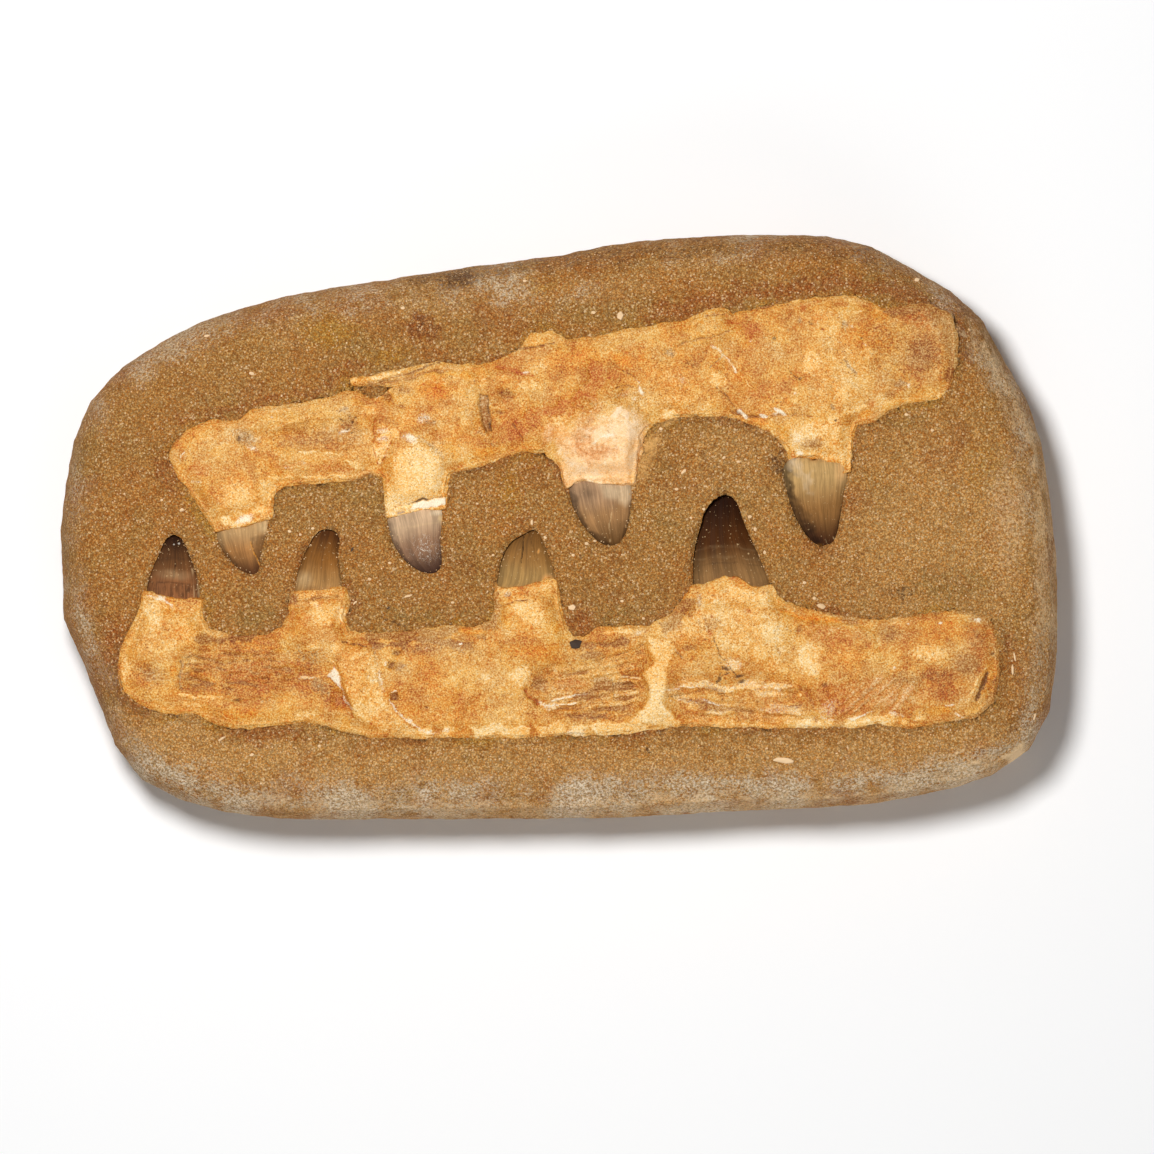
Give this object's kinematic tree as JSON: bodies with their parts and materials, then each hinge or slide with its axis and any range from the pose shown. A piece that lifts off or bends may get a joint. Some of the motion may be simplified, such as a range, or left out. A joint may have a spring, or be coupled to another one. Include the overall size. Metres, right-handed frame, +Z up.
{
  "type": "fossil mosasaur jaw in its rock matrix",
  "caption": "Fossil upper and lower jaw bones with pointed teeth, facing each other in a rounded block of sandy rock that lies flat.",
  "frame": {"origin": "middle of the block's flat underside, in the plane it lies on", "axes": "+Z up, out of the face that shows the fossil; +X along the jaws; +Y from the lower jaw to the upper jaw"},
  "size_m": [0.3499, 0.2061, 0.0523],
  "materials": {
    "sandy_rock": "matt sandy phosphate rock, fine grained, with pale and dark specks",
    "fossil_bone": "mineralised bone, matt to satin, cream to rusty orange",
    "tooth_enamel": "fossil enamel, glossy, grey beige at the root to dark brown at the tip"
  },
  "bodies": {
    "root": {"matrix_block": "sandy_rock", "upper_jaw_bone": "fossil_bone", "lower_jaw_bone": "fossil_bone", "upper_tooth_1": "tooth_enamel", "upper_tooth_2": "tooth_enamel", "upper_tooth_3": "tooth_enamel", "upper_tooth_4": "tooth_enamel", "lower_tooth_1": "tooth_enamel", "lower_tooth_2": "tooth_enamel", "lower_tooth_3": "tooth_enamel", "lower_tooth_4": "tooth_enamel"}
  },
  "joints": []
}
